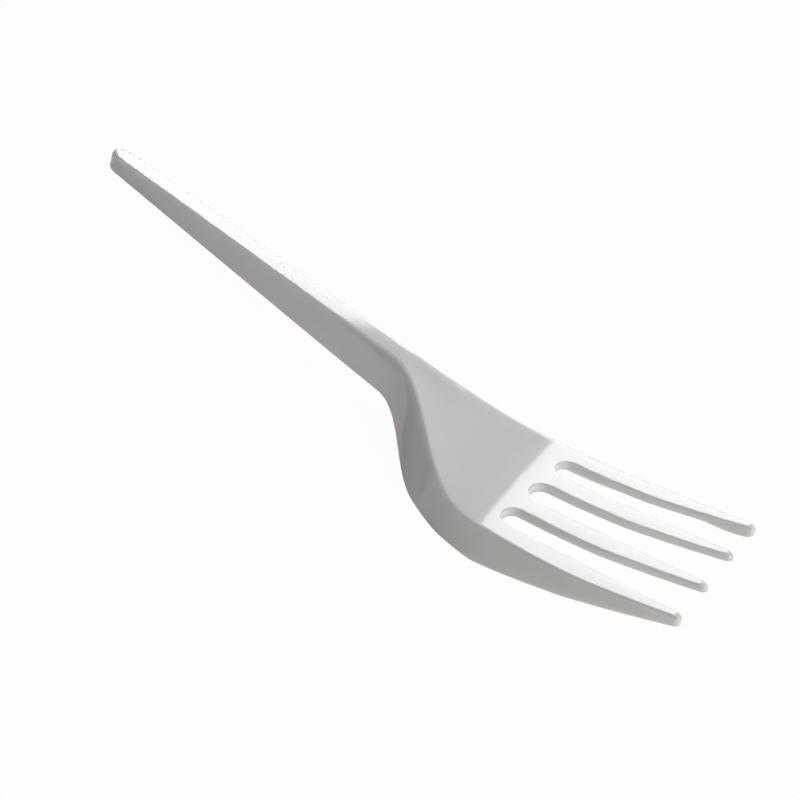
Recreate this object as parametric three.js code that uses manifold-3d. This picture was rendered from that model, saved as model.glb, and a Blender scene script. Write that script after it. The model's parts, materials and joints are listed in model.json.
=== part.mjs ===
// A light disposable fork, injection moulded in one piece.
// Its top skin is a thin web: a narrow flat grip, a bowl floor and four tines. A skirt hangs from
// the edge of the web all the way round and leans outward, so the fork leaves its mould downward
// and the underside is an open channel. The fork lies face up, as it rests on a table.
// Everything is laid out straight along X first and lowered onto the side profile of the fork.
import * as THREE from 'three';
import { mergeVertices } from 'three/addons/utils/BufferGeometryUtils.js';
import Module from 'manifold-3d';

const wasm = await Module();
wasm.setup();

// Driving dimensions in millimetres

// Lengths along the fork, from the free end of the handle to the tips of the tines
const HANDLE_LENGTH = 87;
const BOWL_LENGTH = 27.3;
const ROOT_LAND = 4.5;
const TINE_LENGTH = 32.2;

// Side profile of the top skin
const BOWL_DROP = 9.7;
const DROP_LENGTH = 25.9;
const CREASE_SOFTNESS = 0.2;
const TINE_RISE = 0.223;
const TINE_SWEEP_RADIUS = 173;
const DISH_DEPTH = 0.5;
const DISH_FADE_LENGTH = 10;

// Widths of the top skin
const END_TOP_WIDTH = 3.4;
const NECK_TOP_WIDTH = 3.5;
const TOP_FLARE_LENGTH = 28.9;
const TINE_ROOT_WIDTH = 3.35;
const TINE_MIDDLE_WIDTH = 3.2;
const TINE_TIP_WIDTH = 0.95;
const MIDDLE_SLOT_WIDTH = 4.45;
const SIDE_SLOT_WIDTH = 4.05;

// Skirt: how far it hangs below the top skin and how far its foot stands outside it. The side
// lines of the head's foot are given by the width between them when carried on to the neck.
const END_SKIRT = 3.6;
const BOWL_SKIRT = 6.9;
const TIP_SKIRT = 2.3;
const SKIRT_SOFTNESS = 0.6;
const END_WALL_LEAN = 1.4;
const END_SIDE_LEAN = 0.95;
const NECK_LEAN = 3.15;
const HEAD_LEAN = 1.85;
const TIP_LEAN = 0.1;
const FOOT_FLARE_LENGTH = 17.8;
const SIDE_LINES_AT_NECK = 23.7;

// Thicknesses of the moulding
const WEB_THICKNESS = 1.2;
const SKIRT_THICKNESS = 1.1;
const TINE_THICKNESS = 1.85;
const TIP_THICKNESS = 1.6;

// Edges and corners
const GRIP_EDGE_RADIUS = 0.35;
const BOWL_EDGE_RADIUS = 0.8;
const BOWL_EDGE_BLEND = 20;
const END_CORNER_RADIUS = 1.2;
const END_INNER_RADIUS = 0.4;
const END_EDGE_RADIUS = 1.1;
const TIP_NOSE_LENGTH = 0.8;
const TIP_EDGE_RADIUS = 0.7;
const TIP_LAND = 0.08;
const SLOT_EDGE_RADIUS = 0.35;
const SLOT_DRAFT_ANGLE = 8.3;

// How finely curves are drawn
const GRIP_STATIONS = 10;
const BOWL_STATIONS = 32;
const TINE_STATIONS = 14;
const ARC_STEPS = 8;
const EDGE_STEPS = 4;
const SKIN_STEPS = 6;
const CUT_MARGIN = 1;

// Places along the fork
const gripStart = END_CORNER_RADIUS * 2;
const neckX = HANDLE_LENGTH;
const creaseX = neckX + BOWL_LENGTH;
const rootX = creaseX + ROOT_LAND;
const tipX = rootX + TINE_LENGTH;

// Tine centre lines, as distances from the middle plane
const innerTineY = (MIDDLE_SLOT_WIDTH + TINE_ROOT_WIDTH) / 2;
const outerTineY = innerTineY + SIDE_SLOT_WIDTH + TINE_ROOT_WIDTH;
const headTopHalf = outerTineY + TINE_ROOT_WIDTH / 2;

const { clamp, lerp, degToRad } = THREE.MathUtils;

// Eases from 0 to 1 as x passes from start to start + length
function ease(x, start, length) {
  const u = clamp((x - start) / length, 0, 1);
  return u * u * (3 - 2 * u);
}

// The lower or the higher of two lines, with the corner between them rounded
function softMin(a, b, softness) {
  return (a + b - Math.hypot(a - b, softness)) / 2;
}

function softMax(a, b, softness) {
  return (a + b + Math.hypot(a - b, softness)) / 2;
}

// Height of the top skin on the middle plane: a straight grip, the drop into the bowl, a crease
// across the head, and tines that sweep up
function profileHeight(x) {
  const floor = -BOWL_DROP * ease(x, neckX, DROP_LENGTH);
  const beyondCrease = x - creaseX;
  const sweep = Math.max(beyondCrease, 0) ** 2 / (2 * TINE_SWEEP_RADIUS);
  const tines = -BOWL_DROP + TINE_RISE * beyondCrease + sweep;
  return softMax(floor, tines, CREASE_SOFTNESS);
}

// Half the width of one tine: nearly even to mid length, then tapering to a rounded nose
function tineHalfWidth(x) {
  const along = clamp((x - rootX) / TINE_LENGTH, 0, 1);
  const taper = along < 0.5
    ? lerp(TINE_ROOT_WIDTH, TINE_MIDDLE_WIDTH, along * 2)
    : lerp(TINE_MIDDLE_WIDTH, TINE_TIP_WIDTH, along * 2 - 1);
  const noseStart = tipX - TIP_NOSE_LENGTH;
  const inNose = clamp((x - noseStart) / TIP_NOSE_LENGTH, 0, 1);
  const rounding = Math.sqrt(1 - inNose ** 2);
  return Math.max(taper * rounding, TIP_LAND) / 2;
}

// Half the width of the straight grip, over its top skin
function gripHalfWidth(x) {
  return lerp(END_TOP_WIDTH, NECK_TOP_WIDTH, clamp(x / neckX, 0, 1)) / 2;
}

// Half the width of the top skin
function topHalfWidth(x) {
  if (x > rootX) return outerTineY + tineHalfWidth(x);
  return lerp(gripHalfWidth(x), headTopHalf, ease(x, neckX, TOP_FLARE_LENGTH));
}

// Half the width over the foot of the skirt. Past the neck the foot swings out ahead of the top
// skin and joins the side line of the head.
function footHalfWidth(x) {
  if (x > rootX) return topHalfWidth(x) + lerp(HEAD_LEAN, TIP_LEAN, (x - rootX) / TINE_LENGTH);
  const grip = gripHalfWidth(x) + lerp(END_SIDE_LEAN, NECK_LEAN, clamp(x / neckX, 0, 1));
  const sideLine = lerp(SIDE_LINES_AT_NECK / 2, headTopHalf + HEAD_LEAN, (x - neckX) / (rootX - neckX));
  return lerp(grip, sideLine, ease(x, neckX, FOOT_FLARE_LENGTH));
}

// Depth of the skirt below the top skin
function skirtDepth(x) {
  const grip = END_SKIRT + (BOWL_SKIRT - END_SKIRT) * x / neckX;
  const tines = BOWL_SKIRT + (TIP_SKIRT - BOWL_SKIRT) * (x - rootX) / TINE_LENGTH;
  return softMin(softMin(grip, BOWL_SKIRT, SKIRT_SOFTNESS), tines, SKIRT_SOFTNESS);
}

// Thickness of the web, which grows into the thicker tines behind the crease
function webThickness(x) {
  const head = lerp(WEB_THICKNESS, TINE_THICKNESS, ease(x, creaseX - ROOT_LAND, ROOT_LAND));
  return lerp(head, TIP_THICKNESS, clamp((x - rootX) / TINE_LENGTH, 0, 1));
}

// Depth of the shallow dish of the bowl floor at a share of the half width from the middle
function dish(x, share) {
  const rising = ease(x, neckX, DISH_FADE_LENGTH);
  const falling = 1 - ease(x, creaseX - DISH_FADE_LENGTH, DISH_FADE_LENGTH);
  return DISH_DEPTH * rising * falling * (1 - share ** 2);
}

// Radius of the edge between top skin and skirt, softer round the bowl
function edgeRadius(x) {
  const rising = ease(x, neckX - BOWL_EDGE_BLEND, BOWL_EDGE_BLEND);
  const falling = 1 - ease(x, creaseX, BOWL_EDGE_BLEND);
  return lerp(GRIP_EDGE_RADIUS, BOWL_EDGE_RADIUS, rising * falling);
}

// Evenly spaced stations from one place up to the next
function spread(from, to, steps) {
  return Array.from({ length: steps }, (_, i) => lerp(from, to, i / steps));
}

const quarterTurn = Array.from({ length: ARC_STEPS + 1 }, (_, i) => i / ARC_STEPS * Math.PI / 2);
const noseStations = quarterTurn.map((angle) => tipX - TIP_NOSE_LENGTH * (1 - Math.sin(angle)));

// A closed solid through a row of rings. Each ring lists its points from one side of the fork to
// the other, so that point i and its opposite from the end of the list face each other.
function loft(rings) {
  const count = rings[0].length;
  const points = rings.flat();
  const positions = points.flatMap(({ x, y, depth }) => [x, y, profileHeight(x) - depth]);
  const index = [];
  const quad = (a, b, c, d) => index.push(a, b, c, a, c, d);
  for (let r = 0; r + 1 < rings.length; r += 1) {
    for (let i = 0; i < count; i += 1) {
      const here = r * count + i;
      const beside = r * count + (i + 1) % count;
      quad(here, here + count, beside + count, beside);
    }
  }
  const last = (rings.length - 1) * count;
  for (let i = 0; i < count / 2 - 1; i += 1) {
    quad(i, i + 1, count - 2 - i, count - 1 - i);
    quad(last + i, last + count - 1 - i, last + count - 2 - i, last + i + 1);
  }
  return toSolid(positions, index);
}

// Merges shared points, drops faces of no size and hands the closed mesh over for cutting
function toSolid(positions, index) {
  const geometry = new THREE.BufferGeometry();
  geometry.setAttribute('position', new THREE.Float32BufferAttribute(positions, 3));
  geometry.setIndex(index);
  const merged = mergeVertices(geometry, 1e-5);
  const corners = merged.getIndex().array;
  const kept = [];
  for (let i = 0; i < corners.length; i += 3) {
    const [a, b, c] = corners.slice(i, i + 3);
    if (a !== b && b !== c && c !== a) kept.push(a, b, c);
  }
  return new wasm.Manifold(new wasm.Mesh({
    numProp: 3,
    vertProperties: new Float32Array(merged.getAttribute('position').array),
    triVerts: new Uint32Array(kept),
  }));
}

// Mirrors the points of one side, so that a section runs from the left foot to the right foot
function mirrored(rightHalf) {
  const left = rightHalf.toReversed().map((point) => ({ ...point, y: -point.y }));
  return [...left, ...rightHalf];
}

// How far a rounded edge has fallen at a distance inside the end of the fork
function roundedFall(inside, radius) {
  const intoEdge = clamp(radius - inside, 0, radius);
  return radius - Math.sqrt(radius ** 2 - intoEdge ** 2);
}

// The outer section at one station: top skin, rounded edge, and skirt down to its foot. The skirt
// may start and end at different places along the fork, as it does round the end of the handle.
// Near both ends of the fork the section is cut down by drop.
function outerRing({ topX, footX, topHalf, footHalf, drop }) {
  const depth = skirtDepth(topX);
  const lean = Math.atan2(footHalf - topHalf, depth);
  const radius = edgeRadius(topX);
  const reach = radius * (1 - Math.sin(lean)) / Math.cos(lean);
  const skinHalf = topHalf - reach;
  const at = (y, t) => ({
    x: lerp(topX, footX, clamp(t / depth, 0, 1)),
    y,
    depth: Math.max(t, drop),
  });
  const half = [];
  for (let i = 0; i < SKIN_STEPS; i += 1) {
    const share = (i + 0.5) / (SKIN_STEPS + 0.5);
    half.push(at(share * skinHalf, dish(topX, share)));
  }
  for (let i = 0; i <= EDGE_STEPS; i += 1) {
    const angle = i / EDGE_STEPS * (Math.PI / 2 - lean);
    half.push(at(skinHalf + radius * Math.sin(angle), radius * (1 - Math.cos(angle))));
  }
  half.push(at(footHalf, depth));
  return mirrored(half);
}

// The whole outside of the fork, before the hollow and the slots are cut
function outerBody() {
  const rings = quarterTurn.map((angle) => {
    const topX = END_CORNER_RADIUS * (1 - Math.cos(angle));
    return outerRing({
      topX,
      footX: END_CORNER_RADIUS - (END_CORNER_RADIUS + END_WALL_LEAN) * Math.cos(angle),
      topHalf: topHalfWidth(topX) - END_CORNER_RADIUS * (1 - Math.sin(angle)),
      footHalf: footHalfWidth(topX) - (END_CORNER_RADIUS + END_SIDE_LEAN) * (1 - Math.sin(angle)),
      drop: roundedFall(topX, END_EDGE_RADIUS),
    });
  });
  const stations = [
    ...spread(gripStart, neckX, GRIP_STATIONS),
    ...spread(neckX, rootX, BOWL_STATIONS),
    ...spread(rootX, tipX - TIP_NOSE_LENGTH, TINE_STATIONS),
    ...noseStations,
  ];
  for (const x of stations) {
    rings.push(outerRing({
      topX: x,
      footX: x,
      topHalf: topHalfWidth(x),
      footHalf: footHalfWidth(x),
      drop: roundedFall(tipX - x, TIP_EDGE_RADIUS),
    }));
  }
  return loft(rings);
}

// The section of the hollow underside: the web above, the inside of the skirt on both sides.
// Inside the end wall of the handle it is narrower, and its foot reaches out with the wall.
function hollowRing(x, narrowing, reachOut) {
  const depth = skirtDepth(x);
  const lean = Math.atan2(footHalfWidth(x) - topHalfWidth(x), depth);
  const inset = SKIRT_THICKNESS / Math.cos(lean) + narrowing;
  const web = webThickness(x);
  const wallAt = (t) => topHalfWidth(x) + Math.tan(lean) * t - inset;
  const ceilingHalf = wallAt(web);
  const half = [];
  for (let i = 0; i <= SKIN_STEPS; i += 1) {
    const share = (i + 0.5) / (SKIN_STEPS + 0.5);
    half.push({ x: x - reachOut * web / depth, y: share * ceilingHalf, depth: web + dish(x, share) });
  }
  const below = depth + CUT_MARGIN;
  half.push({ x: x - reachOut * below / depth, y: wallAt(below), depth: below });
  return mirrored(half);
}

// The hollow runs from the end wall of the handle to past the tips
function hollow() {
  const endRings = quarterTurn.map((angle) => {
    const x = SKIRT_THICKNESS + END_INNER_RADIUS * (1 - Math.cos(angle));
    return hollowRing(x, END_INNER_RADIUS * (1 - Math.sin(angle)), END_WALL_LEAN * Math.cos(angle));
  });
  const stations = [
    ...spread(gripStart, neckX, GRIP_STATIONS),
    ...spread(neckX, rootX, BOWL_STATIONS),
    ...spread(rootX, tipX - TIP_NOSE_LENGTH, TINE_STATIONS),
    ...noseStations,
    tipX + CUT_MARGIN,
  ];
  return loft([...endRings, ...stations.map((x) => hollowRing(x, 0, 0))]);
}

// The gap between two tines. Its walls draw in towards the underside, its top edge is rounded,
// and its closed end is a half circle.
function slot(leftTineY, rightTineY) {
  const centreY = (leftTineY + rightTineY) / 2;
  const rootHalf = (rightTineY - leftTineY - TINE_ROOT_WIDTH) / 2;
  const below = TINE_THICKNESS + CUT_MARGIN;
  const draft = Math.tan(degToRad(SLOT_DRAFT_ANGLE));
  const edge = Array.from({ length: EDGE_STEPS + 1 }, (_, i) => {
    const angle = i / EDGE_STEPS * Math.PI / 2;
    return {
      depth: SLOT_EDGE_RADIUS * (1 - Math.cos(angle)),
      inset: SLOT_EDGE_RADIUS * (Math.sin(angle) - 1),
    };
  });
  const levels = [
    { depth: -CUT_MARGIN, inset: -SLOT_EDGE_RADIUS },
    ...edge,
    { depth: below, inset: (below - SLOT_EDGE_RADIUS) * draft },
  ];
  const ringAt = (xAt, halfAt) => {
    const right = levels.map(({ depth, inset }) => ({ x: xAt(inset), y: halfAt(inset), depth }));
    return mirrored(right).map((point) => ({ ...point, y: point.y + centreY }));
  };
  const arcRings = quarterTurn.map((angle) => ringAt(
    (inset) => rootX + rootHalf - (rootHalf - inset) * Math.cos(angle),
    (inset) => (rootHalf - inset) * Math.sin(angle),
  ));
  const straight = spread(rootX + rootHalf, tipX - TIP_NOSE_LENGTH, TINE_STATIONS).slice(1);
  const sideRings = [...straight, ...noseStations, tipX + CUT_MARGIN].map((x) => {
    const half = (rightTineY - leftTineY) / 2 - tineHalfWidth(x);
    return ringAt(() => x, (inset) => half - inset);
  });
  return loft([...arcRings, ...sideRings]);
}

// Angle by which the fork tips back when it is laid down: the line under it that touches the foot
// of the handle's end and the foot of the bowl
function restingAngle() {
  const endFoot = profileHeight(0) - skirtDepth(0);
  const slopes = spread(neckX, rootX, BOWL_STATIONS).map((x) => {
    const foot = profileHeight(x) - skirtDepth(x);
    return (foot - endFoot) / (x + END_WALL_LEAN);
  });
  return Math.atan(Math.min(...slopes));
}

// The finished moulding, lying face up with its lowest points on the table
function forkGeometry() {
  const tineRows = [-outerTineY, -innerTineY, innerTineY, outerTineY];
  let solid = outerBody().subtract(hollow());
  for (let i = 0; i + 1 < tineRows.length; i += 1) {
    solid = solid.subtract(slot(tineRows[i], tineRows[i + 1]));
  }
  const mesh = solid.getMesh();
  const geometry = new THREE.BufferGeometry();
  geometry.setAttribute('position', new THREE.Float32BufferAttribute(mesh.vertProperties, 3));
  geometry.setIndex(new THREE.Uint32BufferAttribute(mesh.triVerts, 1));
  geometry.rotateY(restingAngle());
  geometry.computeBoundingBox();
  const { min, max } = geometry.boundingBox;
  geometry.translate(-(min.x + max.x) / 2, 0, -min.z);
  geometry.computeVertexNormals();
  return geometry;
}

const whitePolystyrene = new THREE.MeshStandardMaterial({ color: 0xf1f1ee, roughness: 0.22, metalness: 0 });

const fork = new THREE.Mesh(forkGeometry(), whitePolystyrene);
fork.name = 'fork';

const group = new THREE.Group();
group.add(fork);

export default group;
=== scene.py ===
# %% [markdown]
# # A disposable fork, dressed for its photograph
#
# The fork is one moulding of white polystyrene. A solid model of it already exists, and this
# lesson puts a finer skin on it: the same form, with the soft edges that a mould leaves, a
# glossy finish, and soft light to show it.
#
# The solid is loaded first and never changed. It gives the fork's place, its tilt on the table
# and the box that the finer skin has to stay inside.

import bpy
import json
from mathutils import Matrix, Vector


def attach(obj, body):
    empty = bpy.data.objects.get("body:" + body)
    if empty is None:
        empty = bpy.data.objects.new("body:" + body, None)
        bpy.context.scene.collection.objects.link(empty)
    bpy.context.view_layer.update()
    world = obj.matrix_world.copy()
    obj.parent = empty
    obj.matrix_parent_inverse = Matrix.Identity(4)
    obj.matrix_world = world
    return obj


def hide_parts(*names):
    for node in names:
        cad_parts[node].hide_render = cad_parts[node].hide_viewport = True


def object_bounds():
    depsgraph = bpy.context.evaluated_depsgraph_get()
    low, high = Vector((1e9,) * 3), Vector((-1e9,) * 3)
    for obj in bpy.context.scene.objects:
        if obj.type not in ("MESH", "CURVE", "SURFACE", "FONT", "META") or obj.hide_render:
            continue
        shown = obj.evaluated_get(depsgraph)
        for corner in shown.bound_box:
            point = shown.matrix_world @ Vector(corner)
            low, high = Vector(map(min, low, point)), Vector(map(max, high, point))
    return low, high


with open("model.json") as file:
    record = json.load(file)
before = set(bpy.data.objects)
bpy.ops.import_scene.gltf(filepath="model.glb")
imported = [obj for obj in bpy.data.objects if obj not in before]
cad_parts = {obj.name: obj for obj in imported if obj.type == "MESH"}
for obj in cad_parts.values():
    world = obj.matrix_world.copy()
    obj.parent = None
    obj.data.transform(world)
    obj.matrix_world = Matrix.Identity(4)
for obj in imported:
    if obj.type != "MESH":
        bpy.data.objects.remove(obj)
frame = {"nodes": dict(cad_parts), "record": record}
solid_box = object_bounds()
solid_fork = frame["nodes"]["fork"]


def rounded(point, digits=4):
    """A point as plain numbers, short enough to print."""
    return [round(float(value), digits) for value in point]


print("Solid fork from", rounded(solid_box[0]), "to", rounded(solid_box[1]))

# %% [markdown]
# ## The camera
#
# The photograph is a close view from above the near side of the tines. At this short distance
# the tines look much larger than the handle. A camera has three things to set: where it stands,
# how it is turned, and how long its lens is. A short distance with a normal lens gives the
# same strong perspective, which a far camera with a long lens would flatten.

# %% Camera
import bpy
from math import radians
from mathutils import Euler, Vector

MM = 0.001
CAMERA_PLACE = Vector((70.5, -92.0, 122.4)) * MM
CAMERA_TURN = Euler([radians(angle) for angle in (40.68, -11.32, 43.90)])
CAMERA_LENS = 39.27
NEAREST_SHOWN = 1.0 * MM

camera = bpy.data.objects.new("camera", bpy.data.cameras.new("camera"))
bpy.context.scene.collection.objects.link(camera)
camera.location = CAMERA_PLACE
camera.rotation_euler = CAMERA_TURN
camera.data.lens = CAMERA_LENS
camera.data.clip_start = NEAREST_SHOWN
bpy.context.scene.camera = camera
print("Camera stands", round(CAMERA_PLACE.length / MM), "mm from the middle of the fork")

# %% [markdown]
# ## Straight first, laid down later
#
# The fork is easiest to describe as if its handle lay level: x runs from the free end of the
# handle to the tips, y runs across, and every point hangs some depth below the top skin. The
# skin's own height follows one side profile. Only at the end is the whole fork tipped back onto
# the table, by the tilt that the solid has.
#
# The sizes are the moulding's own, in millimetres, and x starts at the free end of the solid. In
# the photograph both ends of the fork come out a little shorter than in the solid, so the skin
# starts and ends just inside it.

# %% Lengths and the side profile
import numpy as np

HANDLE_LENGTH = 87.0
BOWL_LENGTH = 27.3
ROOT_LAND = 4.5
TINE_LENGTH = 32.2
BOWL_DROP = 9.7
DROP_LENGTH = 25.9
CREASE_SOFTNESS = 1.3
TINE_RISE = 0.223
TINE_SWEEP_RADIUS = 173.0
SKIN_START_X = 1.3
SKIN_SHORT_OF_TIPS = 0.45

NECK_X = HANDLE_LENGTH
CREASE_X = NECK_X + BOWL_LENGTH
ROOT_X = CREASE_X + ROOT_LAND
TIP_X = ROOT_X + TINE_LENGTH
SKIN_END_X = TIP_X - SKIN_SHORT_OF_TIPS


def ease(x, start, length):
    """From 0 to 1 as x passes from start to start + length, level at both ends."""
    u = np.clip((x - start) / length, 0, 1)
    return u * u * (3 - 2 * u)


def mix(a, b, share):
    """What lies at a share of the way from a to b."""
    return a + (b - a) * share


def soft_max(a, b, softness):
    """The larger of two values, with a rounded change from one to the other."""
    return (a + b + np.hypot(a - b, softness)) / 2


def soft_min(a, b, softness):
    """The smaller of two values, with a rounded change from one to the other."""
    return (a + b - np.hypot(a - b, softness)) / 2


def skin_height(x):
    """Height of the top skin: level grip, drop into the bowl, crease, tines that sweep up."""
    floor = -BOWL_DROP * ease(x, NECK_X, DROP_LENGTH)
    beyond = x - CREASE_X
    sweep = np.maximum(beyond, 0) ** 2 / (2 * TINE_SWEEP_RADIUS)
    return soft_max(floor, -BOWL_DROP + TINE_RISE * beyond + sweep, CREASE_SOFTNESS)


print("The skin is", round(float(skin_height(CREASE_X)), 2), "mm high at the crease and",
      round(float(skin_height(TIP_X)), 2), "mm at the tips")

# %% [markdown]
# ## Widths
#
# The top skin is a narrow strip along the grip and flares into the head. Four tines with three
# slots between them fill the head exactly, so the width of the head follows from theirs. The
# outline of the foot of the skirt runs outside the skin, because the side walls lean outward so
# that the fork can leave its mould.

# %% Widths of the skin, the tines and the foot
END_TOP_WIDTH = 3.4
NECK_TOP_WIDTH = 3.5
TOP_FLARE_LENGTH = 28.9
TINE_ROOT_WIDTH = 3.35
TINE_MIDDLE_WIDTH = 3.2
TINE_TIP_WIDTH = 0.95
MIDDLE_SLOT_WIDTH = 4.45
SIDE_SLOT_WIDTH = 4.05
END_WALL_LEAN = 1.4
END_SIDE_LEAN = 0.95
NECK_LEAN = 3.15
HEAD_LEAN = 1.85
TIP_LEAN = 0.1
FOOT_FLARE_LENGTH = 17.8
SIDE_LINES_AT_NECK = 23.7

INNER_TINE_Y = (MIDDLE_SLOT_WIDTH + TINE_ROOT_WIDTH) / 2
OUTER_TINE_Y = INNER_TINE_Y + SIDE_SLOT_WIDTH + TINE_ROOT_WIDTH
SIDE_SLOT_Y = (INNER_TINE_Y + OUTER_TINE_Y) / 2
HEAD_TOP_HALF = OUTER_TINE_Y + TINE_ROOT_WIDTH / 2


def tine_half(x):
    """Half the width of a tine: nearly even to mid length, then tapering."""
    along = np.clip((x - ROOT_X) / TINE_LENGTH, 0, 1)
    near_root = mix(TINE_ROOT_WIDTH, TINE_MIDDLE_WIDTH, along * 2)
    near_tip = mix(TINE_MIDDLE_WIDTH, TINE_TIP_WIDTH, along * 2 - 1)
    return np.where(along < 0.5, near_root, near_tip) / 2


def grip_half(x):
    """Half the width of the flat strip on top of the grip."""
    return mix(END_TOP_WIDTH, NECK_TOP_WIDTH, np.clip(x / NECK_X, 0, 1)) / 2


def top_half(x):
    """Half the width of the top skin, up to the outer edge of the outer tines."""
    head = mix(grip_half(x), HEAD_TOP_HALF, ease(x, NECK_X, TOP_FLARE_LENGTH))
    return np.where(x > ROOT_X, OUTER_TINE_Y + tine_half(x), head)


def foot_half(x):
    """Half the width over the foot of the skirt."""
    grip = grip_half(x) + mix(END_SIDE_LEAN, NECK_LEAN, np.clip(x / NECK_X, 0, 1))
    past_neck = (x - NECK_X) / (ROOT_X - NECK_X)
    side_line = mix(SIDE_LINES_AT_NECK / 2, HEAD_TOP_HALF + HEAD_LEAN, past_neck)
    head = mix(grip, side_line, ease(x, NECK_X, FOOT_FLARE_LENGTH))
    tines = top_half(x) + mix(HEAD_LEAN, TIP_LEAN, np.clip((x - ROOT_X) / TINE_LENGTH, 0, 1))
    return np.where(x > ROOT_X, tines, head)


print("The head is", round(2 * HEAD_TOP_HALF, 2), "mm wide over its skin and",
      round(2 * (HEAD_TOP_HALF + HEAD_LEAN), 2), "mm over its foot")

# %% [markdown]
# ## Depths, thicknesses and edges
#
# The skirt hangs deepest round the bowl and shrinks towards both ends. Under the skin lies a web
# a little over a millimetre thick. The tines start thicker than the web, because they carry the
# load, and thin out towards their tips, where their top also falls away. Near its tip an outer
# tine is solid, because there is no room left for a hollow. Every edge that a finger or lip meets
# is rounded, more round the bowl than along the grip, and most at the free end of the handle.

# %% Depths, thicknesses and edges
END_SKIRT = 3.6
BOWL_SKIRT = 6.9
TIP_SKIRT = 1.95
SKIRT_SOFTNESS = 0.6
DISH_DEPTH = 0.5
DISH_FADE_LENGTH = 10.0
WEB_THICKNESS = 1.2
SKIRT_THICKNESS = 1.1
TINE_THICKNESS = 1.85
TIP_THICKNESS = 1.3
GRIP_EDGE_RADIUS = 0.35
BOWL_EDGE_RADIUS = 0.8
BOWL_EDGE_BLEND = 20.0
END_ROUND_LENGTH = 3.0
END_EDGE_RADIUS = 1.5
END_EDGE_BLEND = 5.0
SLOT_EDGE_RADIUS = 0.28
SLOT_DRAFT = radians(8.3)
FOOT_EDGE = 0.12
WEB_FILLET = 0.3
NOSE_LENGTH = 0.8
SOLID_TIP_LENGTH = 8.0
TIP_ROUND_LENGTH = 1.3
TIP_ROUND_DROP = 0.75
MOST_OF_THE_TIP = 0.7


def skirt_depth(x):
    """Depth of the foot below the skin: growing along the grip, even round the bowl, shrinking."""
    grip = END_SKIRT + (BOWL_SKIRT - END_SKIRT) * x / NECK_X
    tines = BOWL_SKIRT + (TIP_SKIRT - BOWL_SKIRT) * (x - ROOT_X) / TINE_LENGTH
    return soft_min(soft_min(grip, BOWL_SKIRT, SKIRT_SOFTNESS), tines, SKIRT_SOFTNESS)


def web_thickness(x):
    """Thickness under the skin: the web, and then the tines, which thin out to their tips."""
    head = mix(WEB_THICKNESS, TINE_THICKNESS, ease(x, CREASE_X - ROOT_LAND, ROOT_LAND))
    return mix(head, TIP_THICKNESS, np.clip((x - ROOT_X) / TINE_LENGTH, 0, 1))


def dish(x, share):
    """How far the bowl floor sags at a share of the half width from the middle."""
    rising = ease(x, NECK_X, DISH_FADE_LENGTH)
    falling = 1 - ease(x, CREASE_X - DISH_FADE_LENGTH, DISH_FADE_LENGTH)
    return DISH_DEPTH * rising * falling * (1 - share ** 2)


def edge_radius(x):
    """Radius between skin and skirt, softer round the bowl and at the free end."""
    rising = ease(x, NECK_X - BOWL_EDGE_BLEND, BOWL_EDGE_BLEND)
    falling = 1 - ease(x, CREASE_X, BOWL_EDGE_BLEND)
    body = mix(GRIP_EDGE_RADIUS, BOWL_EDGE_RADIUS, rising * falling)
    return mix(END_EDGE_RADIUS, body, ease(x, SKIN_START_X, END_EDGE_BLEND))


def solid_share(x):
    """0 where the outer tines are hollow underneath, 1 at their solid tips."""
    return ease(x, SKIN_END_X - SOLID_TIP_LENGTH, SOLID_TIP_LENGTH)


def below_skin(x, depth, full):
    """A depth, of a full depth at its place, once the top of the tines falls away at the tips."""
    beyond = np.maximum(x - (SKIN_END_X - TIP_ROUND_LENGTH), 0) / TIP_ROUND_LENGTH
    drop = np.minimum(TIP_ROUND_DROP * beyond ** 2, MOST_OF_THE_TIP * full)
    return drop + depth * (1 - drop / full)


for place in (0.0, NECK_X, CREASE_X, TIP_X):
    print("At", round(place, 1), "mm the skirt is", round(float(skirt_depth(place)), 2), "mm deep")

# %% [markdown]
# ## A net over one half
#
# The fork is the same on both sides, so one half is made and a mirror makes the other. Cutting
# slots out of a mesh leaves long thin triangles that shade badly under a glossy finish. Instead
# the half is covered by one net of rows and columns that already knows about the slots: each
# tine and each slot has its own strip of columns, which run the whole length of the handle. The
# slot strips stop at the round roots, and the tine strips go on to the tips.
#
# Columns crowd towards the edges of a strip, where the surface starts to round over.

# %% Columns of the net
TINE_COLUMNS = 8
SLOT_COLUMNS = 8


def crowded(count):
    """Shares from -1 to 1 across a strip, close together near its two edges."""
    return np.sin(np.pi * (np.arange(count + 1) / count - 0.5))


half_slot_shares = np.sin(np.pi / 2 * np.arange(SLOT_COLUMNS // 2) / (SLOT_COLUMNS // 2))
strips = [
    (0.0, MIDDLE_SLOT_WIDTH / 2, half_slot_shares, False),
    (INNER_TINE_Y, TINE_ROOT_WIDTH / 2, crowded(TINE_COLUMNS), True),
    (SIDE_SLOT_Y, SIDE_SLOT_WIDTH / 2, crowded(SLOT_COLUMNS)[1:-1], False),
    (OUTER_TINE_Y, TINE_ROOT_WIDTH / 2, crowded(TINE_COLUMNS), True),
]
strip_middle = np.concatenate([np.full(len(shares), middle) for middle, _, shares, _ in strips])
strip_half = np.concatenate([np.full(len(shares), half) for _, half, shares, _ in strips])
strip_share = np.concatenate([shares for _, _, shares, _ in strips])
on_tine = np.concatenate([np.full(len(shares), tine) for _, _, shares, tine in strips])
on_outer_tine = on_tine & (strip_middle == OUTER_TINE_Y)
head_share = (strip_middle + strip_half * strip_share) / HEAD_TOP_HALF
column_count = len(head_share)
print("Columns over one half:", column_count)

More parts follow.
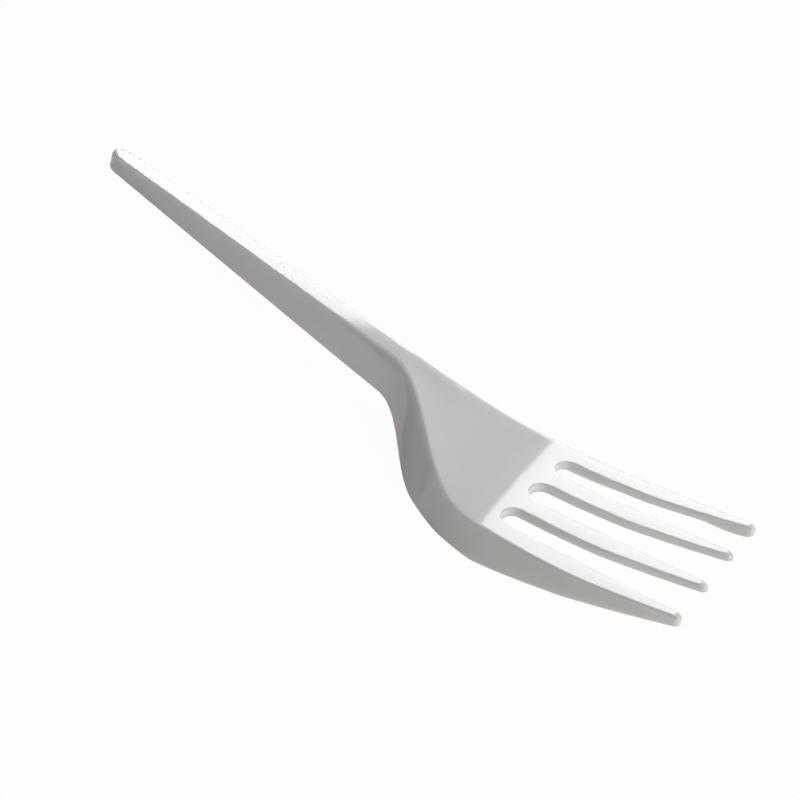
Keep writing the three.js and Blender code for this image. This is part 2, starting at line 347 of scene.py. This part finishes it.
# %% [markdown]
# ## Rows in five stretches
#
# Along the fork the rows pass through five stretches, each with its own way of placing points:
# the curved end of the handle, the body with plain cross sections, the head where the rows bend
# round the roots of the slots, the straight tines, and their rounded noses. Each row keeps the
# stretch that it is in and one number: an angle, an x, or a share of the stretch. Rows stand
# closest where the surface bends most: at the soft free end, down the drop into the bowl, and
# towards the tips.

# %% Rows of the net
END, BODY, HEAD, TINES, NOSE = range(5)
TURN_ROWS = 9
END_ROWS = 9
GRIP_ROWS = 19
NECK_ROWS = 11
BOWL_ROWS = 63
HEAD_ROWS = 14
TINE_ROWS = 49

ROUND_END_X = SKIN_START_X + END_ROUND_LENGTH
GRIP_X = ROUND_END_X + END_EDGE_BLEND
NECK_BLEND_X = NECK_X - BOWL_EDGE_BLEND
HEAD_X = NECK_X + TOP_FLARE_LENGTH
NOSE_X = SKIN_END_X - NOSE_LENGTH


def after(start, end, count):
    """Evenly spaced values beyond a start, the last of them at the end."""
    return np.linspace(start, end, count + 1)[1:]


turn_rows = after(0, np.pi / 2, TURN_ROWS)
body_rows = [
    after(ROUND_END_X, GRIP_X, END_ROWS),
    after(GRIP_X, NECK_BLEND_X, GRIP_ROWS),
    after(NECK_BLEND_X, NECK_X, NECK_ROWS),
    after(NECK_X, HEAD_X, BOWL_ROWS),
]
stretches = [
    (END, np.append(0.0, turn_rows)),
    (BODY, np.concatenate(body_rows)),
    (HEAD, after(0, 1, HEAD_ROWS)),
    (TINES, np.sin(after(0, np.pi / 2, TINE_ROWS))),
    (NOSE, turn_rows),
]
row_stretch = np.concatenate([np.full(len(values), kind) for kind, values in stretches])
row_value = np.concatenate([values for _, values in stretches])
row_count = len(row_value)
root_row = int(np.flatnonzero(row_stretch == HEAD)[-1])
print("Rows:", row_count, "of which", root_row + 1, "cross the whole half")

# %% [markdown]
# ## Points of the net, with the outline moved
#
# One function gives the place of any net point seen from above. It can also move the outline
# outward, by one distance at the rim of the fork and by another in the slots. With nothing
# moved it gives the sharp outline. Moved in a little it gives the edge of the flat skin, and moved
# out step by step it runs down the leaning walls, so the same function serves the whole shape.

# %% Places in plan
SIDE_ROOT_REACH = SIDE_SLOT_WIDTH / 2
MIDDLE_ROOT_REACH = MIDDLE_SLOT_WIDTH / 2


def tine_y(column, x, rim_out, slot_out):
    """Place across the fork of a tine's column, each edge of the tine moved out on its own."""
    share = strip_share[column]
    high_out = np.where(on_outer_tine[column], rim_out, slot_out)
    moved = mix(-slot_out, high_out, (share + 1) / 2)
    return strip_middle[column] + share * tine_half(x) + moved


def root_x(column, slot_out):
    """Where the roots of the slots end along the fork: on an arc in a slot, straight on a tine."""
    share = strip_share[column]
    inner_reach = mix(MIDDLE_ROOT_REACH, SIDE_ROOT_REACH, (share + 1) / 2)
    tine_reach = np.where(on_outer_tine[column], SIDE_ROOT_REACH, inner_reach)
    radius = strip_half[column] - slot_out
    slot_reach = strip_half[column] - radius * np.sqrt(1 - share ** 2)
    return ROOT_X + np.where(on_tine[column], tine_reach, slot_reach)


def plan(row, column, rim_out, slot_out):
    """x and y of net points, with the outline moved out by a distance at the rim and in slots."""
    stretch, value = row_stretch[row], row_value[row]
    share, middle = strip_share[column], strip_middle[column]
    curl_x = ROUND_END_X - (END_ROUND_LENGTH + rim_out) * np.cos(value)
    curl_y = (top_half(ROUND_END_X) + rim_out) * np.sin(value)
    body_y = top_half(value) + rim_out
    end_x = root_x(column, slot_out)
    head_x = mix(HEAD_X, end_x, value)
    slot_y = middle + share * (strip_half[column] - slot_out)
    end_y = np.where(on_tine[column], tine_y(column, head_x, rim_out, slot_out), slot_y)
    head_y = mix(head_share[column] * (HEAD_TOP_HALF + rim_out), end_y, ease(value, 0, 1))
    tine_x = mix(end_x, NOSE_X, value)
    nose_rim = np.where(on_outer_tine[column], rim_out, slot_out)
    nose_out = mix(slot_out, nose_rim, (1 + share * np.cos(value)) / 2)
    nose_x = NOSE_X + (NOSE_LENGTH + nose_out) * np.sin(value)
    nose_y = middle + (tine_y(column, NOSE_X, rim_out, slot_out) - middle) * np.cos(value)
    straight_y = tine_y(column, tine_x, rim_out, slot_out)
    x = np.choose(stretch, [curl_x, value, head_x, tine_x, nose_x])
    y = np.choose(stretch, [head_share[column] * curl_y, head_share[column] * body_y, head_y,
                            straight_y, nose_y])
    return x, y


rows, columns = np.meshgrid(np.arange(row_count), np.arange(column_count), indexing="ij")
flat_x, flat_y = plan(rows, columns, 0.0, 0.0)
print("The outline runs from x", round(flat_x.min(), 2), "to", round(flat_x.max(), 2),
      "and reaches y", round(flat_y.max(), 2))

# %% [markdown]
# ## Round the edge, down the wall, across the foot, up the inside
#
# The outline of the half is one path over the net: across the end of the handle, along the rim,
# round the outer tine, round the root of the side slot, round the inner tine and to the middle.
# A wall hangs from every point of it. Its section is a row of steps, each a distance moved out
# and a depth: a rounded edge, a leaning wall, a foot with two soft corners, the inside of the
# skirt, and a fillet under the web. In the slots the same steps shrink to a rounded edge, a wall
# with mould draft and a plain lower edge. At the nose of the outer tine one kind of section
# fades into the other.

# %% The path round the outline
nose_row = row_count - 1
inner_columns = np.flatnonzero(on_tine & ~on_outer_tine)
outer_columns = np.flatnonzero(on_outer_tine)
side_slot_columns = np.arange(inner_columns[-1] + 1, outer_columns[0])
middle_slot_columns = np.arange(inner_columns[0])
out_along_tine = np.arange(root_row, nose_row + 1)
back_along_tine = out_along_tine[::-1]


def leg(row_numbers, column_numbers):
    """One straight piece of the path, as pairs of a row and a column."""
    row_numbers, column_numbers = np.broadcast_arrays(row_numbers, column_numbers)
    return np.stack([row_numbers, column_numbers], axis=1)


path = np.concatenate([
    leg(0, np.arange(column_count)),
    leg(np.arange(1, nose_row + 1), column_count - 1),
    leg(back_along_tine, outer_columns[0]),
    leg(root_row, side_slot_columns[::-1]),
    leg(out_along_tine, inner_columns[-1]),
    leg(back_along_tine, inner_columns[0]),
    leg(root_row, middle_slot_columns[::-1]),
])
path_row, path_column = path.T
path_x, path_y = plan(path_row, path_column, 0.0, 0.0)
path_length = np.hypot(np.diff(path_x), np.diff(path_y)).sum()
print("Points on the path:", len(path), "over", round(path_length), "mm")

# %% Steps of a section
EDGE_STEPS = 6
WALL_STEPS = 4
FILLET_STEPS = 3
CORNER_START = 0.3
CORNER_RISE = 0.4


def section(radius, lean, depth, foot, foot_inner_edge, ceiling, fillet):
    """Distances out and depths, step by step, down a wall, across its foot and up its inside."""
    slope = np.tan(lean)
    reach = radius * (1 - np.sin(lean)) / np.cos(lean)
    steps = []
    for turn in np.linspace(0, 1, EDGE_STEPS + 1):
        angle = turn * (np.pi / 2 - lean)
        steps.append((radius * np.sin(angle) - reach, radius * (1 - np.cos(angle))))
    edge_depth = radius * (1 - np.sin(lean))
    for share in after(0, 1, WALL_STEPS):
        hung = mix(edge_depth, depth - FOOT_EDGE, share)
        steps.append((slope * hung, hung))
    for turn in (CORNER_START, 1.0):
        hung = depth - (1 - turn) * CORNER_RISE * FOOT_EDGE
        steps.append((slope * depth - turn * FOOT_EDGE, hung))
    for turn in (1.0, CORNER_START):
        hung = depth - (1 - turn) * CORNER_RISE * foot_inner_edge
        steps.append((slope * depth - foot + turn * foot_inner_edge, hung))
    for share in np.linspace(0, 1, WALL_STEPS + 1):
        hung = mix(depth - foot_inner_edge, ceiling + fillet, share)
        steps.append((slope * hung - foot, hung))
    for angle in after(0, np.pi / 2, FILLET_STEPS):
        hung = ceiling + fillet * (1 - np.sin(angle))
        steps.append((slope * hung - foot - fillet * (1 - np.cos(angle)), hung))
    return np.array([step[0] for step in steps]), np.array([step[1] for step in steps])


print("Steps round the edge:", EDGE_STEPS, "down the wall:", WALL_STEPS,
      "and in the fillet:", FILLET_STEPS)

# %% [markdown]
# ## Hanging the walls
#
# Each point of the path gets its own section, from the sizes at its place along the fork. The
# share of the rim says how much of the skirt a point has: all of it along the rim, none in the
# slots, and a fading share round the nose of the outer tine.

# %% Sections along the path
TINE_FOOT = 0.3
WIDEST_FOOT = 2 * SKIRT_THICKNESS


def rim_share(row, column):
    """1 where the skirt hangs, 0 in the slots, and between the two round the outer tine's nose."""
    turn = np.where(row_stretch[row] == NOSE, row_value[row], 0.0)
    on_tip_side = (1 + strip_share[column] * np.cos(turn)) / 2
    beyond = np.where(on_outer_tine[column], on_tip_side, 0.0)
    return np.where(row_stretch[row] <= BODY, 1.0, beyond)


def under_tine(x, column):
    """Depth of the underside: the web, and the full skirt near the thin tip of the outer tine."""
    web = web_thickness(x)
    outer = mix(web, skirt_depth(x), solid_share(x))
    return np.where(on_outer_tine[column], outer, web)


def section_at(row, column):
    """Steps of the section that hangs from a point of the net."""
    x, _ = plan(row, column, 0.0, 0.0)
    rim = rim_share(row, column)
    round_end = np.where(row_stretch[row] == END, np.sin(row_value[row]), 1.0)
    side_lean = foot_half(x) - top_half(x)
    lean_out = mix(END_WALL_LEAN, side_lean, round_end)
    lean = np.arctan2(lean_out, skirt_depth(x))
    solid = solid_share(x)
    rim_foot = np.minimum(SKIRT_THICKNESS / np.cos(lean), mix(WIDEST_FOOT, TINE_FOOT, solid))
    under = under_tine(x, column)
    return section(
        radius=mix(SLOT_EDGE_RADIUS, edge_radius(x), rim),
        lean=mix(SLOT_DRAFT, lean, rim),
        depth=mix(under, skirt_depth(x), rim),
        foot=mix(TINE_FOOT, rim_foot, rim),
        foot_inner_edge=FOOT_EDGE * rim * (1 - solid),
        ceiling=under,
        fillet=WEB_FILLET * rim * (1 - solid),
    )


wall_out, wall_depth = section_at(path_row, path_column)
ring_x, ring_y = plan(path_row, path_column, wall_out, wall_out)
ring_depth = below_skin(ring_x, wall_depth, wall_depth.max(axis=0))
ring_points = np.stack([ring_x, ring_y, skin_height(ring_x) - ring_depth], axis=2)
print("Wall points:", ring_points.shape[1], "sections of", ring_points.shape[0], "steps")

# %% [markdown]
# ## The skin above and the web below
#
# The top skin and the underside are the same net, with the outline moved in to where the
# rounded edge starts and to where the inside of the wall ends. Their border points are then put
# exactly on the first and the last ring of the walls, so that the surface closes without a gap.

# %% Top and underside
def grid_surface(rim_out, slot_out, depth, border):
    """Points of the whole net at a depth, with those on the path taken from a ring of the wall."""
    x, y = plan(rows, columns, rim_out, slot_out)
    hung = below_skin(x, depth, under_tine(x, columns))
    points = np.stack([x, y, skin_height(x) - hung], axis=2)
    points[path_row, path_column] = border
    for tine in (inner_columns, outer_columns):
        points[nose_row, tine] = points[nose_row, tine[0]]
    return points


on_rim = np.full_like(rows, column_count - 1)
rim_side, _ = section_at(rows, on_rim)
in_slot = np.full_like(rows, inner_columns[0])
slot_side, _ = section_at(rows, in_slot)
_, widest = plan(rows, on_rim, rim_side[0], 0.0)
_, across = plan(rows, columns, rim_side[0], slot_side[0])
# The first row is a single point without a width, so its shares stay 0.
share_across = np.divide(across, widest, out=np.zeros_like(across), where=widest > 0)
sag = dish(flat_x, share_across)
top_points = grid_surface(rim_side[0], slot_side[0], sag, ring_points[0])
web_depth = under_tine(flat_x, columns) + sag
web_points = grid_surface(rim_side[-1], slot_side[-1], web_depth, ring_points[-1])
print("The bowl floor sags", round(sag.max(), 2), "mm in the middle")

# %% [markdown]
# ## From points to a mesh
#
# The points are numbered once and the faces join the numbers: the skin, the underside and the
# walls are all plain rows of four-sided faces. Points that lie on each other are then merged,
# and a mirror modifier adds the other half, so the two halves can never differ. Blender counts
# in metres, so from the turn onto the table on, places are in metres too.
#
# So far the handle lies level. The solid rests on the table with its handle tipped, and its
# record gives the direction that the flat top of the grip faces. That one direction is the whole
# turn, and the box of the solid gives the place.

# %% Turn onto the table
grip_mount = frame["record"]["mounts"][0]
grip_place = np.array(grip_mount["pos_m"]) / MM
grip_up = np.array(grip_mount["axis"])


def laid_down(points):
    """Turns points of the level fork and moves them to where the solid rests."""
    x, y, z = np.moveaxis(points, -1, 0)
    turned_x = x * grip_up[2] + z * grip_up[0]
    turned_z = z * grip_up[2] - x * grip_up[0]
    tips = np.array([TIP_X, 0.0, skin_height(TIP_X)])
    tips_x = tips[0] * grip_up[2] + tips[2] * grip_up[0]
    shift_x = solid_box[1].x / MM - tips_x
    shift_z = grip_place[2] - (grip_place[0] - shift_x) * -grip_up[0] / grip_up[2]
    return np.stack([turned_x + shift_x, y, turned_z + shift_z], axis=-1) * MM


print("The handle is tipped", round(float(np.degrees(np.arcsin(-grip_up[0]))), 2), "degrees")

# %% Faces
def quads(numbers):
    """Four-sided faces between neighbouring rows and columns of an array of point numbers."""
    corners = [numbers[:-1, :-1], numbers[1:, :-1], numbers[1:, 1:], numbers[:-1, 1:]]
    return np.stack(corners, axis=2).reshape(-1, 4)


sheets = (top_points, web_points, ring_points)
points = laid_down(np.concatenate([sheet.reshape(-1, 3) for sheet in sheets]))
grid_numbers = np.arange(rows.size).reshape(rows.shape)
ring_numbers = 2 * rows.size + np.arange(ring_x.size).reshape(ring_x.shape)
whole_rows = grid_numbers[: root_row + 1]
patches = [whole_rows] + [grid_numbers[root_row:, tine] for tine in (inner_columns, outer_columns)]
top_faces = np.concatenate([quads(patch) for patch in patches])
web_faces = top_faces[:, ::-1] + rows.size
wall_faces = quads(ring_numbers)[:, ::-1]
faces = np.concatenate([top_faces, web_faces, wall_faces])
print("Faces over one half:", len(faces))

# %% Half a fork, mirrored
import bmesh

MERGE_DISTANCE = 1e-7
SEAM_DISTANCE = 1e-6

mesh = bpy.data.meshes.new("fork_skin")
mesh.from_pydata(points.tolist(), [], faces.tolist())
shell = bmesh.new()
shell.from_mesh(mesh)
bmesh.ops.remove_doubles(shell, verts=shell.verts, dist=MERGE_DISTANCE)
bmesh.ops.dissolve_degenerate(shell, edges=shell.edges, dist=MERGE_DISTANCE)
loose = [vert for vert in shell.verts if not vert.link_faces]
bmesh.ops.delete(shell, geom=loose, context="VERTS")
for face in shell.faces:
    face.smooth = True
shell.to_mesh(mesh)
shell.free()

fork = bpy.data.objects.new("fork_skin", mesh)
bpy.context.scene.collection.objects.link(fork)
mirror = fork.modifiers.new("other half", "MIRROR")
mirror.use_axis = (False, True, False)
mirror.use_mirror_merge = True
mirror.merge_threshold = SEAM_DISTANCE
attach(fork, "root")
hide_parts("fork")
print("Half the fork has", len(mesh.vertices), "points and", len(mesh.polygons), "faces")

# %% How far the skin departs from the solid
from mathutils.bvhtree import BVHTree

solid_shell = bmesh.new()
solid_shell.from_mesh(solid_fork.data)
solid_tree = BVHTree.FromBMesh(solid_shell)
solid_shell.free()


def gap_to_solid(place):
    """Distance from a place to the nearest point of the solid's surface."""
    _, _, _, distance = solid_tree.find_nearest(place)
    return distance


gaps = np.array([gap_to_solid(vert.co) for vert in mesh.vertices]) / MM
furthest = mesh.vertices[int(gaps.argmax())].co / MM
print("The skin lies", round(gaps.mean(), 3), "mm from the solid on average and",
      round(gaps.max(), 3), "mm at most, at", rounded(furthest, digits=1))

whole = bmesh.new()
whole.from_object(fork, bpy.context.evaluated_depsgraph_get())
print("The whole skin has", len(whole.faces), "faces, a volume of",
      round(whole.calc_volume(signed=True) / MM ** 3), "cubic mm and",
      sum(not edge.is_manifold for edge in whole.edges), "open edges")
whole.free()

# %% [markdown]
# ## Shader maths as plain sums
#
# A material is a graph of nodes. Written node by node, a short formula takes many lines, so one
# small class stands for a value in the graph. Adding, subtracting and multiplying such values
# adds the Math nodes, and one method adds any other node.

# %% Values in a node graph
class Value:
    """An output socket of a node graph, to be used in sums."""

    def __init__(self, tree, socket):
        self.tree = tree
        self.socket = socket

    def math(self, operation, first, second):
        settings = {"operation": operation}
        return add_node(self.tree, "ShaderNodeMath", settings, {0: first, 1: second})

    def __add__(self, other):
        return self.math("ADD", self, other)

    def __sub__(self, other):
        return self.math("SUBTRACT", self, other)

    def __rsub__(self, other):
        return self.math("SUBTRACT", other, self)

    def __mul__(self, other):
        return self.math("MULTIPLY", self, other)

    __radd__ = __add__
    __rmul__ = __mul__


def add_node(tree, kind, settings=None, sockets=None, output=0):
    """Adds a node, sets its settings and then its sockets, and gives one of its outputs."""
    node = tree.nodes.new(kind)
    for name, setting in (settings or {}).items():
        setattr(node, name, setting)
    for name, given in (sockets or {}).items():
        if isinstance(given, Value):
            tree.links.new(given.socket, node.inputs[name])
        else:
            node.inputs[name].default_value = given
    return Value(tree, node.outputs[output]) if node.outputs else None


def new_material(name):
    """A material with an empty node graph."""
    material = bpy.data.materials.new(name)
    material.use_nodes = True
    material.node_tree.nodes.clear()
    return material


print("Sums of node values are ready")

# %% [markdown]
# ## Glossy moulded polystyrene
#
# The plastic is filled white right through, and its surface is as smooth as the polished steel
# that it was pressed against. Three things keep such a surface from looking like paint on a
# computer. It is never quite flat, so reflections bend a little over a centimetre or two. Its
# gloss varies slightly where the plastic cooled faster. And light enters the thin edges a short
# way before it leaves again, which softens them.
#
# The wave is far too shallow to model, so it goes into a bump, with a trace of finer marks on
# it. A noise texture counts its waves per metre, because the fork's own places are in metres.

# %% White plastic
PLASTIC_WHITE = (0.90, 0.90, 0.885, 1.0)
PLASTIC_SHADE = (0.87, 0.875, 0.86, 1.0)
GLOSS_ROUGHNESS = 0.07
ROUGHNESS_SWING = 0.05
PLASTIC_IOR = 1.57
WAVE = {"Scale": 70.0, "Detail": 1.0, "Roughness": 0.4}
COOLING = {"Scale": 42.0, "Detail": 2.0}
MARKS = {"Scale": 900.0, "Detail": 3.0, "Roughness": 0.6}
NOISE_MIDDLE = 0.5
MARK_SHARE = 0.02
WAVE_HEIGHT = 0.03 * MM
GLOW_SHARE = 1.0
GLOW_DEPTH = 2.5 * MM
GLOW_RADII = (1.0, 1.0, 0.95)
# A Mix node that is set to colours has its sockets at these places.
MIX_SHARE, MIX_FIRST, MIX_SECOND, MIX_COLOUR = 0, 6, 7, 2

plastic = new_material("white_plastic")
tree = plastic.node_tree
on_object = add_node(tree, "ShaderNodeTexCoord", output="Object")
wave, cooling, marks = [
    add_node(tree, "ShaderNodeTexNoise", sockets={"Vector": on_object, **noise})
    for noise in (WAVE, COOLING, MARKS)
]
colour = add_node(tree, "ShaderNodeMix", {"data_type": "RGBA"}, {
    MIX_SHARE: cooling, MIX_FIRST: PLASTIC_SHADE, MIX_SECOND: PLASTIC_WHITE}, MIX_COLOUR)
bumped = add_node(tree, "ShaderNodeBump", sockets={
    "Height": wave + marks * MARK_SHARE, "Distance": WAVE_HEIGHT, "Strength": 1.0})
surface = add_node(tree, "ShaderNodeBsdfPrincipled", {"subsurface_method": "RANDOM_WALK"}, {
    "Base Color": colour,
    "Roughness": GLOSS_ROUGHNESS + ROUGHNESS_SWING * (cooling - NOISE_MIDDLE),
    "IOR": PLASTIC_IOR,
    "Subsurface Weight": GLOW_SHARE,
    "Subsurface Radius": GLOW_RADII,
    "Subsurface Scale": GLOW_DEPTH,
    "Normal": bumped,
})
add_node(tree, "ShaderNodeOutputMaterial", sockets={"Surface": surface})
fork.data.materials.append(plastic)
print("The plastic's graph has", len(tree.nodes), "nodes")

# %% [markdown]
# ## A white table without a horizon
#
# The photograph has the fork on pure white. A large pale floor gives that, and it also throws
# light back up onto the walls of the fork, as a white table does. What the camera sees of the
# floor, straight or in a reflection, is nearly all plain white, so the ground stays white and
# only a trace of a shadow is left where the fork touches it.

# %% Floor
FLOOR_SIZE = 6.0
FLOOR_COLOUR = (0.88, 0.81, 0.80, 1.0)
WHITE_SHARE = 0.97
PLAIN_WHITE = (1.0, 1.0, 1.0, 1.0)
SHADER_SHARE, FIRST_SHADER, SECOND_SHADER = range(3)


def seen_directly(tree):
    """1 where the camera looks, straight or by reflection, and 0 for light that bounces."""
    straight = add_node(tree, "ShaderNodeLightPath", output="Is Camera Ray")
    light_path = straight.socket.node
    reflected = Value(tree, light_path.outputs["Is Glossy Ray"])
    through = Value(tree, light_path.outputs["Is Transmission Ray"])
    return straight + reflected + through


floor_material = new_material("white_table")
tree = floor_material.node_tree
bouncing = add_node(tree, "ShaderNodeBsdfDiffuse", sockets={"Color": FLOOR_COLOUR})
plain = add_node(tree, "ShaderNodeEmission", sockets={"Color": PLAIN_WHITE, "Strength": 1.0})
table = add_node(tree, "ShaderNodeMixShader", sockets={
    SHADER_SHARE: seen_directly(tree) * WHITE_SHARE, FIRST_SHADER: bouncing, SECOND_SHADER: plain})
add_node(tree, "ShaderNodeOutputMaterial", sockets={"Surface": table})

bpy.ops.mesh.primitive_plane_add(size=FLOOR_SIZE)
floor = bpy.context.object
floor.name = "floor"
floor.data.materials.append(floor_material)
print("The floor is", FLOOR_SIZE, "m wide")

# %% [markdown]
# ## One low window, a pale wall and a dim room
#
# The reflections tell where the light was. The flat top of the grip and the tines are nearly
# white, and all of them mirror one low part of the room, behind the fork and to the left. The
# white ends sharply across the head and at the neck, where the mirrored direction climbs past
# 36 degrees, so that is where the window has its upper edge. The floor of the bowl tips the
# other way and is an even grey: it faces a pale wall to the right. The near wall of the fork
# faces a dim room and gets its light from the table and from low down at the front.
#
# The greys are not quite neutral. The bowl's is faintly green and the near wall's is faintly red,
# so the pale wall is a little cool, and the table and the room are a little warm.

# %% Lights
LAMP_DISTANCE = 1.0
NEUTRAL = (1.0, 1.0, 1.0)
COOL = (0.97, 1.0, 0.98)
WINDOW = dict(azimuth=138.0, elevation=25.0, width=0.89, height=0.39, power=6.5, colour=NEUTRAL)
RIGHT_WALL = dict(azimuth=3.0, elevation=38.0, width=0.8, height=0.8, power=6.8, colour=COOL)
LOW_FRONT = dict(azimuth=335.0, elevation=10.0, width=0.8, height=0.3, power=0.4, colour=NEUTRAL)
ROOM_COLOUR = (1.0, 0.98, 0.97, 1.0)
ROOM_LEVEL = 0.03


def soft_box(name, azimuth, elevation, width, height, power, colour):
    """An area light at a direction from the fork, turned to face it."""
    lamp = bpy.data.lights.new(name, "AREA")
    lamp.shape = "RECTANGLE"
    lamp.size, lamp.size_y, lamp.energy, lamp.color = width, height, power, colour
    holder = bpy.data.objects.new(name, lamp)
    bpy.context.scene.collection.objects.link(holder)
    around, up = radians(azimuth), radians(elevation)
    towards = Vector((np.cos(up) * np.cos(around), np.cos(up) * np.sin(around), np.sin(up)))
    holder.location = towards * LAMP_DISTANCE
    holder.rotation_euler = towards.to_track_quat("Z", "Y").to_euler()


soft_box("window", **WINDOW)
soft_box("right_wall", **RIGHT_WALL)
soft_box("low_front", **LOW_FRONT)

world = bpy.data.worlds.new("room")
bpy.context.scene.world = world
world.use_nodes = True
tree = world.node_tree
tree.nodes.clear()
camera_ray = add_node(tree, "ShaderNodeLightPath", output="Is Camera Ray")
room = add_node(tree, "ShaderNodeBackground", sockets={
    "Color": ROOM_COLOUR, "Strength": ROOM_LEVEL + (1 - ROOM_LEVEL) * camera_ray})
add_node(tree, "ShaderNodeOutputWorld", sockets={"Surface": room})
bpy.context.scene.view_settings.view_transform = "Standard"
window_angle = 2 * np.degrees(np.arctan(WINDOW["width"] / 2 / LAMP_DISTANCE))
print("The window fills", round(float(window_angle)), "degrees across")

# %% [markdown]
# ## Finish
#
# The last cell only loads Python's json module. The finer skin has to stay inside the box of
# the solid.

# %% Finish
import json
